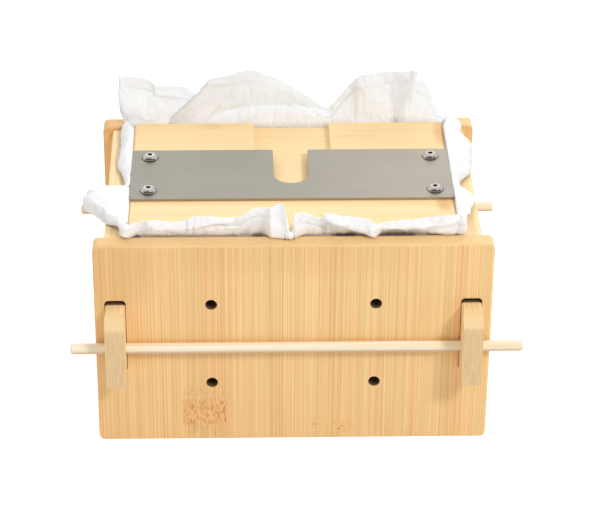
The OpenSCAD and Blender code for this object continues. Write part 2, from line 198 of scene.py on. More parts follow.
def bamboo(name, run, across, pale, deep, bands, seed, ends, marks=(), speckles=(), shade_and_spots=(), cut_shade=None,
           under=0.0):
    """Laminated bamboo with fibres along one axis and strips side by side along another.

    bands holds, for each strip, where it ends in millimetres along the across axis and how deep
    its tone is from 0 to 1. marks and speckles hold node marks as (from, to, from, to) along across
    and run, and shade_and_spots hold soft browner patches as (across, run, half width, half length,
    strength): most of them are painted shade, a few are darker spots. ends holds the colours of end
    grain, on rounded edges, flat and pale, and flat and deep, and how well they cover the strips.
    cut_shade, where given, is a function that finds where painted shade darkens the drilled and sawn
    inner faces and other hollows. under is how much painted shade browns the undersides.
    """
    finish = Finish(name)
    parts = finish.parts()
    low, high = bands[0][0], bands[-1][0]
    along_strips = finish.spread(parts[across], low * MM, high * MM)
    along_strips.node.interpolation_type = "LINEAR"
    stops = [((start[0] - low) / (high - low), end[1]) for start, end in zip(bands, bands[1:])]
    band = finish.ramp(along_strips, stops, "CONSTANT")

    def stretched(over, length):
        steps = [over, over, over]
        steps[run] = length
        return finish.place(steps, (seed, seed * 0.7, seed * 1.3))

    fibre = finish.noise(stretched(1.5, 0.003), 2.0, 0.6)
    thread = finish.noise(stretched(3.8, 0.006), 2.0, 0.6)
    cloud = finish.noise(stretched(0.06, 0.01), 2.0, 0.5)
    hue = finish.noise(stretched(0.3, 0.004), 1.0, 0.5)
    sway = finish.noise(stretched(0.35, 0.0025), 1.0, 0.5)
    turn = finish.times(parts[across], math.tau / (COMB_STEP * MM))
    turn = finish.math("ADD", turn, finish.times(sway, 22.0))
    comb = finish.spread(finish.math("SINE", turn), -1, 1)
    lines = finish.ramp(fibre, [(0.4, 0.0), (0.5, 0.4), (0.6, 1.0)])
    threads = finish.ramp(thread, [(0.4, 0.0), (0.6, 1.0)])
    shade = finish.times(band, 0.24)
    for value, share in ((lines, 0.36), (threads, 0.34), (comb, 0.3), (cloud, 0.3)):
        shade = finish.math("ADD", shade, finish.times(value, share))
    shade = finish.math("SUBTRACT", shade, 0.42)
    base = finish.mix(shade, colour(*pale), colour(*deep))
    base = finish.mix(finish.spread(hue, 0.4, 0.62, 0.0, 0.3), base, colour(232, 202, 140))
    base = finish.mix(finish.spread(hue, 0.46, 0.34, 0.0, 0.3), base, colour(248, 194, 136))

    for a0, a1, r0, r1 in marks:
        dash = finish.noise(stretched(1.4, 0.34), 1.0, 0.5, 0.6)
        core = finish.times(finish.window(parts[across], a0, a1, 1.2), finish.window(parts[run], r0, r1, 4))
        wide = finish.times(finish.window(parts[across], a0, a1, 2.5),
                            finish.window(parts[run], r0 - 7, r1 + 11, 9))
        base = finish.mix(finish.times(core, 0.5), base, colour(234, 174, 106))
        dark = finish.times(finish.math("MAXIMUM", core, finish.times(wide, 0.5)),
                            finish.ramp(dash, [(0.54, 0.0), (0.62, 0.6)]))
        base = finish.mix(dark, base, colour(184, 118, 56))
        light = finish.times(core, finish.ramp(dash, [(0.36, 0.5), (0.44, 0.0)]))
        base = finish.mix(light, base, colour(253, 214, 150))
    for a0, a1, r0, r1 in speckles:
        inside = finish.times(finish.window(parts[across], a0, a1, 1.0),
                              finish.window(parts[run], r0, r1, 1.5))
        cells = finish.add("ShaderNodeTexVoronoi", {"Vector": stretched(0.5, 0.5), "Scale": 1.0})
        keep = finish.add("ShaderNodeSeparateXYZ", {0: cells.node.outputs["Color"]}).node.outputs[0]
        dots = finish.times(finish.ramp(cells, [(0.16, 0.75), (0.34, 0.0)]), finish.spread(keep, 0.3, 0.6))
        base = finish.mix(finish.times(inside, 0.3), base, colour(244, 190, 124))
        base = finish.mix(finish.times(inside, dots), base, colour(172, 118, 56))

    points = finish.parts("Normal")
    facing = finish.math("ABSOLUTE", points[run])
    # Painted shade: browner where the face turns downwards
    base = finish.mix(finish.spread(points[2], 0.3, -0.5, 0.0, under), base, colour(*UNDERSIDE_SHADE))
    edge_tone, flat_pale, flat_deep, cover = ends
    pores = finish.noise(finish.place((1.8, 1.8, 0.1), (seed, 0, 0)), 2.0, 0.6)
    flat = finish.mix(finish.ramp(pores, [(0.36, 0.0), (0.66, 1.0)]), colour(*flat_pale), colour(*flat_deep))
    end_tone = finish.mix(finish.spread(facing, 0.9, 0.995), colour(*edge_tone), flat)
    base = finish.mix(finish.spread(facing, 0.06, 0.3, 0.0, cover), base, end_tone)
    # Soft browner patches: mostly painted shade, a few darker spots
    for a0, r0, half_a, half_r, strength in shade_and_spots:
        over = finish.math("POWER", finish.from_middle(parts[across], a0, half_a), 2.0)
        down = finish.math("POWER", finish.from_middle(parts[run], r0, half_r), 2.0)
        away = finish.math("ADD", finish.math("ADD", over, down), finish.times(lines, 0.5))
        base = finish.mix(finish.spread(away, 1.4, 0.2, 0.0, strength), base, colour(*SHADE_AND_SPOT_TONE))
    if cut_shade:
        # Painted shade on the hollow faces that the function finds
        base = finish.mix(cut_shade(finish, parts), base, colour(*HOLLOW_SHADE))

    finish.set(Base_Color=base, Roughness=finish.spread(lines, 0, 1, 0.5, 0.62))
    finish.shader.inputs["Specular IOR Level"].default_value = 0.3
    relief = finish.math("ADD", finish.times(thread, 0.5), finish.times(comb, 0.3))
    relief = finish.times(finish.math("ADD", relief, fibre), finish.spread(facing, 0.4, 0.06))
    finish.bump(relief, 0.05, 0.45)
    return finish


# Where the end panels are drilled and sawn through, in millimetres
DRAIN_X = 41.4
DRAIN_LOW = 35.0
DRAIN_HIGH = 81.7
DRAIN_R = 3.0
SLOT_X = (84.0, 95.0)
SLOT_Z = (42.0, 84.7)
OUTER_Y = 68.5
WALL_Y = 58.5
# How far below the outer face the painted shade in holes and slots begins
HOLLOW_SHADE_FROM = 0.3
TENON_TOP = (81.2, 84.0)
# The front panel's inner upper edge, where painted shade lies: its length, how far it reaches into the wall,
# and from which height
EDGE_X = (-84, 84)
EDGE_Y = (WALL_Y + 1.9, WALL_Y + 0.9)
EDGE_Z = (113.2, 114)
# Stretches of that edge that get painted shade under the cloth
SHADED_EDGE = [(-84, -73), (-24, -13), (16, 34), (39, 64)]


def shaded_edge(finish, parts, elsewhere):
    """Where along the front panel's inner edge painted shade lies, and how much of it lies elsewhere."""
    shaded = finish.times(finish.window(parts[0], *EDGE_X, 1.0), elsewhere)
    for low, high in SHADED_EDGE:
        shaded = finish.math("MAXIMUM", shaded, finish.window(parts[0], low, high, 5.0))
    return finish.times(shaded, finish.math("LESS_THAN", parts[1], 0.0))


def panel_cut_shade(finish, parts):
    """Painted shade in the drain holes and slots, from just below the outer face inwards.

    Painted shade darkens the front panel's inner upper edge too.
    """
    side = finish.math("ABSOLUTE", parts[0])
    depth = finish.math("ABSOLUTE", parts[1])
    deep = finish.rise(depth, (OUTER_Y - HOLLOW_SHADE_FROM, OUTER_Y - 3 * HOLLOW_SHADE_FROM))
    found = finish.times(finish.window(side, *SLOT_X, 0.1), finish.window(parts[2], *SLOT_Z, 0.1))
    for height in (DRAIN_LOW, DRAIN_HIGH):
        away = finish.away((side, parts[2]), (DRAIN_X, height))
        found = finish.math("MAXIMUM", found, finish.rise(away, (DRAIN_R + 0.25, DRAIN_R + 0.1)))
    found = finish.times(found, deep)
    line = finish.times(finish.rise(depth, EDGE_Y), finish.rise(parts[2], EDGE_Z))
    found = finish.math("MAXIMUM", found, finish.times(line, shaded_edge(finish, parts, 0.25)))
    return finish.times(found, 0.9)


def tenon_cut_shade(finish, parts):
    """Painted shade on the tenons' upper edges, where they pass through the slots."""
    depth = finish.math("ABSOLUTE", parts[1])
    inside = finish.window(depth, WALL_Y + 0.1, OUTER_Y + 0.3, 0.8)
    return finish.times(finish.times(inside, finish.window(parts[2], *TENON_TOP, 0.5)), 0.85)


# Where the plate goes over from its painted shaded tone to its painted lit tone, and how far round a screw
# its painted shadow reaches
PLATE_SHADE_TO_LIGHT_X = (-20, 75)
SCREW_SHADE = 0.9


def brushed_steel():
    """Brushed along X, painted lighter towards the right, with painted shade on its sides and a painted
    shadow ring round each screw head.
    """
    finish = Finish("satin_steel")
    parts = finish.parts()
    hair = finish.noise(finish.place((0.02, 7.0, 9.0)), 3.0, 0.7)
    smudge = finish.noise(finish.place((0.03, 0.06, 0.05)), 3.0, 0.6, 0.4)
    # Painted light: a shaded tone on the left and a lit one on the right
    left = finish.mix(smudge, colour(170, 167, 156), colour(188, 181, 169))
    right = finish.mix(smudge, colour(190, 184, 173), colour(208, 198, 185))
    base = finish.mix(finish.rise(parts[0], PLATE_SHADE_TO_LIGHT_X), left, right)
    base = finish.mix(finish.ramp(hair, [(0.4, 0.0), (0.6, 0.22)]), base, colour(140, 136, 126))
    # Painted shade on the plate's sides
    level = finish.parts("Normal")[2]
    base = finish.mix(finish.spread(level, 0.8, 0.2, 0.0, 0.7), base, colour(160, 148, 126))
    side = finish.math("ABSOLUTE", parts[0])
    # A painted shadow ring round each screw head
    for x, y in screw_places():
        if x > 0:
            away = finish.away((side, parts[1]), (x, y))
            ring = finish.rise(away, (HEAD_D / 2 + SCREW_SHADE, HEAD_D / 2 - 0.1), 0.85)
            base = finish.mix(ring, base, colour(70, 62, 52))
    rough = finish.math("ADD", finish.times(hair, 0.14), finish.times(smudge, 0.14))
    finish.set(Base_Color=base, Metallic=1.0, Roughness=finish.math("ADD", rough, 0.26), Anisotropic=0.5)
    finish.bump(hair, 0.02, 0.4)
    return finish


def polished_steel():
    """Polished, with painted reflections: darker on the heads' steep slopes, and dark on their front, as a
    dark part of the room would show in them.
    """
    finish = Finish("polished_steel")
    wear = finish.noise(finish.place((1.4, 1.4, 1.4)), 3.0, 0.6)
    points = finish.parts("Normal")
    base = finish.mix(wear, colour(240, 236, 228), colour(206, 202, 194))
    # Painted reflection: darker on steep slopes
    base = finish.mix(finish.ramp(points[2], [(0.6, 0.0), (0.74, 0.5), (0.9, 0.5), (0.97, 0.0)]), base,
                      colour(120, 112, 102))
    # Painted reflection: dark on the heads' front
    front = finish.spread(points[1], -0.52, -0.8, 0.0, 0.92)
    base = finish.mix(front, base, colour(46, 38, 30))
    finish.set(Base_Color=base, Metallic=1.0, Roughness=finish.spread(wear, 0.3, 0.7, 0.2, 0.34))
    return finish


def insert_brass():
    finish = Finish("insert_brass")
    turning = finish.noise(finish.place((0.6, 0.6, 8.0)), 2.0, 0.6)
    base = finish.mix(turning, colour(214, 178, 96), colour(188, 150, 74))
    finish.set(Base_Color=base, Metallic=1.0, Roughness=0.32)
    finish.bump(turning, 0.05, 0.4)
    return finish


WEAVE_STEP = 0.62
PAINTED_COOL_FROM_Y = (54, 64)
RIM_SHADE_BELOW_Z = (119, 116.5)
GAP_SHADE_BELOW_Z = (117.4, 115.8)
# In Y the painted dark shade on the cloth's foot fades out at both ends, over these stretches
GAP_SHADE_ENDS_Y = ((-59.4, -58.9), (-54.5, -55.5))


def cotton(name, pale, deep):
    """Plain weave cotton: threads along the sheet's own two directions, from its UV map.

    It is tinted a little cooler at the rear, as painted light against the warm light that the wood throws on
    it. It has painted warm shade near the rim, and painted dark shade on its outer side where it meets the
    front panel's inner edge.
    """
    finish = Finish(name)
    threads = []
    for axis in (0, 1):
        turn = finish.times(finish.parts("UV")[axis], math.tau / (WEAVE_STEP * MM))
        threads.append(finish.math("SINE", turn))
    weave = finish.times(threads[0], threads[1])
    slub = finish.noise(finish.place((0.5, 0.5, 0.5)), 3.0, 0.6)
    base = finish.mix(slub, colour(*pale), colour(*deep))
    base = finish.mix(finish.spread(weave, -1, 1, 0.0, 0.08), base, colour(226, 226, 225))
    parts = finish.parts()
    # Painted light: a cooler tint at the rear, against the warm light that the wood throws on it
    cool = finish.mix(1.0, base, colour(250, 253, 255), "MULTIPLY")
    base = finish.mix(finish.rise(parts[1], PAINTED_COOL_FROM_Y), base, cool)
    # Painted warm shade near the rim
    base = finish.mix(finish.rise(parts[2], RIM_SHADE_BELOW_Z, 0.3), base, colour(214, 196, 172))
    outward = finish.parts("Normal")[1]
    # Painted dark shade on the outer side, where the cloth meets the front panel's inner edge
    gap_shade = finish.times(finish.rise(parts[2], GAP_SHADE_BELOW_Z), finish.spread(outward, 0.1, -0.4))
    for places in GAP_SHADE_ENDS_Y:
        gap_shade = finish.times(gap_shade, finish.rise(parts[1], places))
    gap_shade = finish.times(gap_shade, shaded_edge(finish, parts, 0.4))
    base = finish.mix(finish.times(gap_shade, 0.8), base, colour(116, 80, 50))
    finish.set(Base_Color=base, Roughness=0.9)
    finish.shader.inputs["Subsurface Weight"].default_value = 0.5
    finish.shader.inputs["Subsurface Radius"].default_value = (1.0, 1.0, 1.0)
    finish.shader.inputs["Subsurface Scale"].default_value = 0.6 * MM
    finish.shader.inputs["Sheen Weight"].default_value = 0.15
    finish.shader.inputs["Specular IOR Level"].default_value = 0.2
    height = finish.math("ADD", finish.times(weave, 0.6), finish.times(slub, 1.2))
    finish.bump(height, 0.12, 0.55)
    return finish


# Strips of each board: the first row is where the first strip starts
WALL_BANDS = [(-100, 0), (-85, 0.75), (-73, 0.5), (-57, 0.2), (-35, 0.9), (-13, 0.15), (-4, 0.75), (16, 0.1),
              (25, 0.7), (47, 0.15), (62, 0.3), (80, 0), (84, 0.4), (100, 0)]
REAR_BANDS = [(-100, 0), (-82, 0.5), (-66, 0.1), (-49, 0.7), (-30, 0.3), (-12, 0.8), (8, 0.2), (27, 0.6),
              (46, 0.1), (60, 0.5), (82, 0.2), (100, 0.7)]
SIDE_BANDS = [(0, 0), (18, 0.3), (37, 0.1), (55, 0.6), (75, 0.2), (92, 0.5), (116, 0)]
PRESS_BANDS = [(-57, 0), (-40, 0.3), (-22, 0.1), (-3, 0.4), (17, 0.15), (37, 0.3), (57, 0.1)]
BASE_BANDS = [(-63, 0), (-44, 0.4), (-25, 0.1), (-6, 0.5), (14, 0.2), (35, 0.5), (63, 0.1)]
DOWEL_BANDS = [(-4, 0), (0, 0.1), (4, 0.3)]
FRONT_MARKS = [(-57.5, -33.5, 7, 26)]
FRONT_SPECKLES = [(9, 15.5, 5, 13.5), (17, 32, 2.5, 12)]
REAR_MARKS = [(8, 26, 66, 84), (-66, -50, 14, 28)]
# The first two are painted shade of the cloth by the lid's right edge, the last two darker spots
LID_SHADE_AND_SPOTS = [(-34, 77, 8, 5, 0.55), (44, 81, 16, 5, 0.5), (52, -41, 4, 7, 0.16), (40, 30, 3, 20, 0.1)]
# Painted shade along the front panel's top and at its top left corner
FRONT_PAINTED_SHADE = [(-92, 104, 28, 26, 0.28), (0, 110, 80, 14, 0.12)]
# Painted shade at the rear panel's top left corner
REAR_PAINTED_SHADE = [(-96, 116, 16, 8, 0.5)]


def dress_boards():
    top = ((244, 208, 152), (246, 211, 156), (236, 198, 142), 0.7)
    tip = ((240, 209, 156), (230, 198, 152), (214, 180, 134), 0.9)
    wall = dict(run=2, across=0, pale=(251, 213, 154), deep=(218, 158, 94), ends=top, cut_shade=panel_cut_shade)
    dress(nodes["front_panel"], bamboo("bamboo_front", bands=WALL_BANDS, seed=3, marks=FRONT_MARKS,
                                       speckles=FRONT_SPECKLES, shade_and_spots=FRONT_PAINTED_SHADE, **wall))
    dress(nodes["rear_panel"], bamboo("bamboo_rear", bands=REAR_BANDS, seed=11, marks=REAR_MARKS,
                                      shade_and_spots=REAR_PAINTED_SHADE, **wall))
    side = dict(run=1, across=2, pale=(254, 230, 182), deep=(232, 184, 124), ends=tip, bands=SIDE_BANDS,
                cut_shade=tenon_cut_shade)
    dress(nodes["left_side_panel"], bamboo("bamboo_left", seed=23, **side))
    dress(nodes["right_side_panel"], bamboo("bamboo_right", seed=31, **side))
    pale = dict(run=0, across=1, pale=(253, 225, 174), deep=(243, 201, 144), ends=top)
    dress(nodes["press_board"], bamboo("bamboo_press", bands=PRESS_BANDS, seed=47, shade_and_spots=LID_SHADE_AND_SPOTS, **pale))
    dress(nodes["base_board"], bamboo("bamboo_base", bands=BASE_BANDS, seed=59, **pale))
    # The dowels get painted shade on their undersides
    turned = dict(run=0, across=1, pale=(252, 244, 226), deep=(236, 217, 184), bands=DOWEL_BANDS, under=0.6,
                  ends=((240, 232, 212), (230, 222, 202), (214, 204, 182), 0.9))
    for name, seed in (("front_locking_dowel", 67), ("rear_locking_dowel", 71)):
        dress(nodes[name], bamboo("bamboo_" + name, seed=seed, **turned))


# Mesh helpers

def new_object(name, mesh_data, finish, body):
    mesh_data.update()
    obj = bpy.data.objects.new(name, mesh_data)
    bpy.context.scene.collection.objects.link(obj)
    dress(obj, finish)
    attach(obj, body)
    return obj


# Plate screws

SCREW_D = 4.0
HEAD_D = 8.0
HEAD_H = 2.2
SOCKET_FLATS = 2.5
SOCKET_DEPTH = 1.3
SOCKET_CONE = 0.35
SOCKET_TURNS = (0.3, 0.9, 0.1, 0.65)
THREAD_PITCH = 0.7
THREAD_DEPTH = 0.4
TIP_LENGTH = 0.5


def head_profile(steps=14):
    """Half section of a button head above its seat, from the socket's rim out and down."""
    flat_r = 1.8
    dome_r = 3.75
    brim_h = 0.55
    dome = []
    for share in (i / steps for i in range(steps + 1)):
        rise = math.sqrt(1 - share ** 2)
        dome.append((flat_r + (dome_r - flat_r) * share, brim_h + (HEAD_H - brim_h) * rise))
    edge = [(HEAD_D / 2 - 0.06, 0.44), (HEAD_D / 2, 0.3), (HEAD_D / 2, 0.12), (HEAD_D / 2 - 0.12, 0.0)]
    return dome + edge


def plate_screw(mesh, x, y, seat, length, turn):
    """Adds one button-head screw with a hexagon socket, standing on its seat height."""
    around = 48
    turns = [math.tau * k / around for k in range(around)]
    root_r = SCREW_D / 2 - THREAD_DEPTH

    def ring(radii, z):
        """One vertex for each step round the screw, at a height above its seat."""
        return [mesh.verts.new(Vector((x + radius * math.cos(a), y + radius * math.sin(a), seat + z)) * MM)
                for radius, a in zip(radii, turns)]

    def skin(upper, lower):
        for k in range(around):
            n = (k + 1) % around
            mesh.faces.new((upper[k], lower[k], lower[n], upper[n]))

    shank = [(SCREW_D / 2, 0.0)]
    ridges = int((length - 2 * THREAD_PITCH) / THREAD_PITCH)
    for i in range(ridges):
        z = -THREAD_PITCH * (i + 1)
        shank += [(root_r, z + 0.35 * THREAD_PITCH), (SCREW_D / 2 - 0.05, z)]
    shank += [(root_r, -length + TIP_LENGTH), (root_r - THREAD_DEPTH, -length)]
    rings = [ring([radius] * around, z) for radius, z in head_profile() + shank]
    for upper, lower in zip(rings, rings[1:]):
        skin(upper, lower)
    mesh.faces.new(rings[-1][::-1])
    from_flats = [(a + turn) % (math.tau / 6) - math.tau / 12 for a in turns]
    radii = [SOCKET_FLATS / 2 / math.cos(a) for a in from_flats]
    hexagon = [ring(radii, height) for height in (HEAD_H, HEAD_H - SOCKET_DEPTH)]
    skin(hexagon[0], rings[0])
    skin(hexagon[1], hexagon[0])
    bottom = mesh.verts.new(Vector((x, y, seat + HEAD_H - SOCKET_DEPTH - SOCKET_CONE)) * MM)
    for k in range(around):
        mesh.faces.new((hexagon[1][k], hexagon[1][(k + 1) % around], bottom))


def screw_places():
    """The middles of the four screws, from the corners of their CAD box."""
    low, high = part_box("plate_screws")
    return [(x, y) for x in (low.x / MM + HEAD_D / 2, high.x / MM - HEAD_D / 2)
            for y in (low.y / MM + HEAD_D / 2, high.y / MM - HEAD_D / 2)]


def make_screws(finish):
    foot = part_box("plate_screws")[0].z / MM
    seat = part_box("slotted_steel_plate")[1].z / MM
    mesh = bmesh.new()
    for (x, y), turn in zip(screw_places(), SOCKET_TURNS):
        plate_screw(mesh, x, y, seat, seat - foot, turn)
    data = bpy.data.meshes.new("button_screws")
    mesh.to_mesh(data)
    mesh.free()
    obj = new_object("button_screws", data, finish, "press")
    data.shade_smooth()
    data.set_sharp_from_angle(angle=math.radians(32))
    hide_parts("plate_screws")


# Straining cloth, in millimetres

INNER_X = 84.5
INNER_Y = 58.5
RIM_Z = 116.0
SIDE_RIM_DROP = 1.5
WALL_T = 10.0
FLOOR_Z = 20.6
WALL_GAP = 0.35
LAYER_GAP = 0.42
THICKNESS = 0.36
CORNER_RUN = 12.0
LID_X = 82.5
LID_Y = 56.5
HEM = 6.0

# Each fold of the rim: where it is along its side, which layer it is inside the wall, and then
# the points of its section above the rim, each (out, up) or (out, up, shift along the side)
FRONT_FOLDS = [
    (-83.5, 0, (2.5, 0.9), (3.6, 2.5), (2.6, 4.5), (3.6, 7), (2.6, 9)),
    (-81.5, 0, (3.4, 0.8), (4.8, 2.4), (3.4, 4.4), (4.8, 6.2), (3.4, 8.6)),
    (-79.8, 0, (1.2, 0.8), (2.2, 2.4), (1.6, 4), (3, 5.6), (2, 7.6)),
    (-78, 2, (-1, 1), (-1.3, 3), (-1.4, 4.6), (-1.3, 6), (-1.2, 7.2)),
    (-74.5, 2, (-1, 1), (-0.9, 3), (-0.6, 4.8), (-0.2, 6.4), (0, 8.2)),
    (-72, 1, (-0.2, 1), (0.6, 3), (1.2, 5.2), (1.8, 7.4), (1.8, 9.6)),
    (-69.5, 1, (-0.2, 1), (1.2, 3), (2, 5), (1.8, 7.2), (0.8, 9.6)),
    (-65, 1, (-0.2, 1), (1, 2.4), (1.8, 4), (1.6, 6), (0.6, 8.6)),
    (-60, 1, (-0.2, 1), (0.9, 2.2), (1.6, 3.4), (1.6, 5.2), (0.6, 8)),
    (-56, 1, (-0.2, 1), (1, 2), (1.6, 3.2), (1.8, 5.2), (0.8, 8.6)),
    (-53.5, 1, (-0.3, 1), (0.2, 2.4), (0.6, 3.6), (1.4, 5.2), (0.6, 9.6, 0.8)),
    (-52, 1, (0.2, 1), (1.6, 2.4), (1.8, 3.8), (2.8, 5.6), (2, 10.4, -0.8)),
    (-50.5, 1, (-0.4, 1), (0.2, 2.6), (0.8, 4.2), (2, 6.2), (1, 11)),
    (-48, 1, (-0.2, 1), (0.6, 2.8), (0.8, 4.4), (2.6, 6), (1.4, 11.8)),
    (-43, 1, (-0.2, 1), (0.5, 3.2), (0.6, 5.6), (2.6, 7.4), (1.6, 12)),
    (-38, 1, (-0.2, 1), (0.4, 4), (0.4, 6.6), (2.6, 8.4), (1.8, 11.8)),
    (-32, 1, (-0.2, 1), (0.4, 4), (0.5, 7), (2.2, 8.8), (1.8, 11.2)),
    (-27, 2, (-0.6, 1), (0.4, 4.4), (0.8, 7.6), (2.2, 9.6), (2, 12)),
    (-24, 2, (-1.2, 1), (-0.2, 4.4), (1, 8.6), (2.6, 12), (2.6, 14.6)),
    (-20, 2, (-1.3, 1), (-0.4, 4.6), (1.2, 9.6), (3, 14.4), (2.8, 16.8)),
    (-15, 2, (-1.3, 1), (-0.4, 4.6), (1.4, 10), (3.6, 15.6), (3.4, 18)),
    (-12.6, 1, (1.2, 0.8), (2.8, 5), (4.4, 10), (5.4, 15), (4.8, 18.6)),
    (-11.4, 0, (4, 0.7), (5.4, 5), (6.2, 10), (6.4, 15), (5.6, 18.8)),
    (-9.5, 0, (4.2, 0.7), (4, 5), (3.6, 10), (3.8, 15), (4.2, 19.2)),
    (-6.8, 0, (4.6, 0.7), (3.6, 5), (3, 10), (3.4, 15.5), (4.4, 20.2)),
    (-5, 0, (5, 0.7), (5, 5), (4.6, 9.5), (4.8, 14.5), (5.6, 19.8)),
    (-3.6, 0, (5.4, 0.7), (5.8, 3.4), (5.6, 6), (5.4, 9), (5.4, 11.6, 0.5)),
    (-2.4, 0, (5.4, 0.6), (5.8, 1.8), (5.8, 2.6), (5.4, 3.4), (4.8, 4.2)),
    (-0.6, 0, (5.2, 0.6), (5.4, 1.8), (5.4, 2.8), (5, 3.8), (4.4, 4.8)),
    (0.8, 0, (4.8, 0.7), (5.2, 4), (5, 7.5), (4.6, 11), (4.2, 13.6, -0.5)),
    (2.6, 0, (2, 0.8), (2.6, 4), (2.8, 8), (3.2, 12), (3.2, 15)),
    (6, 1, (-0.2, 1), (0.8, 4), (1.4, 7.5), (2.2, 11.5), (2.4, 14)),
    (10, 1, (-0.4, 1), (0.4, 3.6), (0.9, 6.6), (1.7, 9.8), (1.9, 12)),
    (14.5, 1, (-0.5, 1), (0, 3.4), (0.6, 6), (1.4, 8.8), (1.6, 10.6)),
    (20, 1, (-0.5, 1), (-0.2, 3.4), (0.4, 5.8), (1.2, 8.6), (1.2, 10.2)),
    (21.5, 2, (-0.6, 1), (0.2, 3.4), (1, 5.8), (1.9, 8.4), (2, 10.6)),
    (17.5, 3, (-0.5, 1), (0.6, 3.4), (1.7, 6.2), (3, 8.6), (3, 12, -1)),
    (14.6, 3, (-0.2, 1.2), (1, 4), (2.2, 7.6), (3.9, 10.4), (3.8, 14.4, -0.5)),
    (17.5, 3, (-0.3, 1), (0.9, 4), (2.2, 7.4), (4.2, 9.6), (3.8, 14.4)),
    (23, 3, (-0.7, 1), (0.4, 3.4), (1.4, 5.6), (4, 7.6), (3.2, 12.9)),
    (30, 3, (-1.2, 1), (0, 2.4), (1.6, 3.6), (4, 5.4), (2.6, 11.6)),
    (35.5, 2, (-0.4, 1), (1.8, 1.8), (3.6, 2.8), (4.6, 4.6), (3, 11)),
    (38.2, 1, (1.4, 0.8), (3.6, 1.4), (4.8, 3), (5.4, 5.4), (3.8, 10.6)),
    (39.8, 0, (4.2, 0.8), (5.2, 2.2), (4.4, 4), (5.6, 5.6), (4.2, 9)),
    (41.4, 0, (2.6, 0.8), (3.8, 2), (2.8, 3.4), (4, 4.6), (3, 6.8)),
    (43, 1, (-0.3, 1), (0.6, 2.2), (1.2, 3.6), (2.2, 4.8), (1.4, 7.2)),
    (46.5, 3, (-1.3, 1), (-0.8, 2.2), (0.6, 3.4), (2.4, 5), (1.4, 8.2)),
    (52, 3, (-1.4, 1), (-1, 2.4), (0.6, 3.6), (2.8, 5), (1.6, 9)),
    (58, 3, (-1.3, 1), (-0.8, 2.2), (0.8, 3.4), (2.8, 5), (1.4, 9.2)),
    (65, 2, (-0.6, 1), (0.4, 2.2), (1.2, 3.6), (2.6, 5.4), (1.4, 10.4)),
    (71, 1, (0.4, 0.9), (1.8, 2.6), (1.6, 4.4), (2.8, 6.4), (2, 11.4)),
    (76.5, 0, (1.4, 0.8), (2.6, 2.8), (1.8, 5), (3.4, 7), (2.4, 12)),
    (79.8, 0, (1.2, 0.8), (2.2, 3.2), (2, 6), (3, 8.4), (2.6, 12)),
    (81.2, 1, (-0.6, 0.9), (-0.6, 3.4), (-0.2, 6.2), (0.8, 8.8), (1.2, 11.6)),
    (82.8, 0, (1.8, 0.8), (2.8, 3), (2.8, 6), (3, 9), (2.6, 11.6)),
    (84.3, 0, (2.2, 0.8), (3, 3), (3, 5.6), (2.8, 8.8), (2.2, 11.4))]
RIGHT_FOLDS = [
    (-57, 0, (0.8, 1), (1.8, 3.5), (1.2, 6), (2, 9), (1.4, 11.2)),
    (-53, 0, (-0.6, 1.6), (0.2, 4), (1.2, 6.2), (2, 8), (2, 9.6)),
    (-48, 0, (-2.8, 2.6), (-1, 4.4), (1, 5.6), (3, 6), (4.2, 5.4)),
    (-41, 0, (-3, 3), (-2.6, 5), (0.8, 6), (3.4, 5.6), (5, 4)),
    (-35, 0, (-3, 3.4), (-2.8, 5.6), (0.4, 6.6), (4, 5.4), (6.6, 2.6)),
    (-30, 0, (-3, 3.6), (-2.8, 6), (0.6, 6.8), (4.6, 5), (7.6, 1.8)),
    (-26, 0, (-3, 3.8), (-2.8, 6.4), (1, 7), (5.4, 4.6), (9.2, 1)),
    (-23, 0, (-3, 3.8), (-2.6, 6.4), (1.4, 6.8), (5.8, 4.2), (9.6, 0.6)),
    (-20.5, 0, (-3, 3.6), (-2.6, 5.8), (0.6, 6.4), (3.6, 4.6), (5.6, 2.4)),
    (-17, 0, (-3, 3.2), (-2.8, 5), (-0.4, 5.6), (1.4, 4.4), (2.4, 2.4)),
    (-11, 0, (-3, 3), (-2.8, 4.2), (-0.6, 4.8), (1, 3.6), (2.2, 0.8)),
    (-5, 0, (-3, 3), (-2.6, 4.4), (-0.2, 4.8), (1.6, 3.6), (3, 0.4)),
    (-1, 0, (-3, 3.2), (-2.6, 4.8), (0.8, 5.2), (3.6, 3.6), (5.4, 0.2)),
    (4, 0, (-3, 3.4), (-2.6, 5.2), (1.6, 5.6), (5.4, 3.8), (8.4, 0)),
    (9, 0, (-3, 3.8), (-2.6, 5.8), (1.4, 6.2), (5.4, 5.2), (9.4, 0.6)),
    (13, 0, (-3, 3.4), (-2.6, 5.2), (1.8, 5.2), (6, 3.6), (10.4, -1)),
    (18, 0, (-3, 3.8), (-2.6, 5.8), (1.6, 6.4), (6.2, 5.6), (11.2, 0.4)),
    (24, 0, (-3, 3.4), (-2.6, 5.4), (2, 5.4), (6.6, 3.8), (11.8, -1.2)),
    (31, 0, (-3, 3.8), (-2.6, 6), (1.8, 6.6), (6.8, 5.6), (12.4, 0.2)),
    (38, 0, (-3, 3.6), (-2.6, 5.4), (2.2, 5.6), (7, 3.8), (13, -1.6)),
    (42, 0, (-3, 3.8), (-2.4, 5.8), (1.8, 6.2), (6.4, 5.2), (11, 0.2)),
    (45.5, 0, (-3, 4), (-2.4, 6), (1.2, 6), (3.6, 4.4), (5.8, 2)),
    (49, 0, (-2.8, 3.6), (-0.8, 5.6), (1.6, 6), (4.8, 4.4), (7.4, 1.6)),
    (53, 0, (-1, 3.4), (-0.2, 5.2), (2.4, 5.6), (6, 4.4), (9, 1.4)),
    (57, 0, (0, 2.8), (0.8, 4.6), (3, 5), (6.4, 3.8), (9.4, 1.2))]
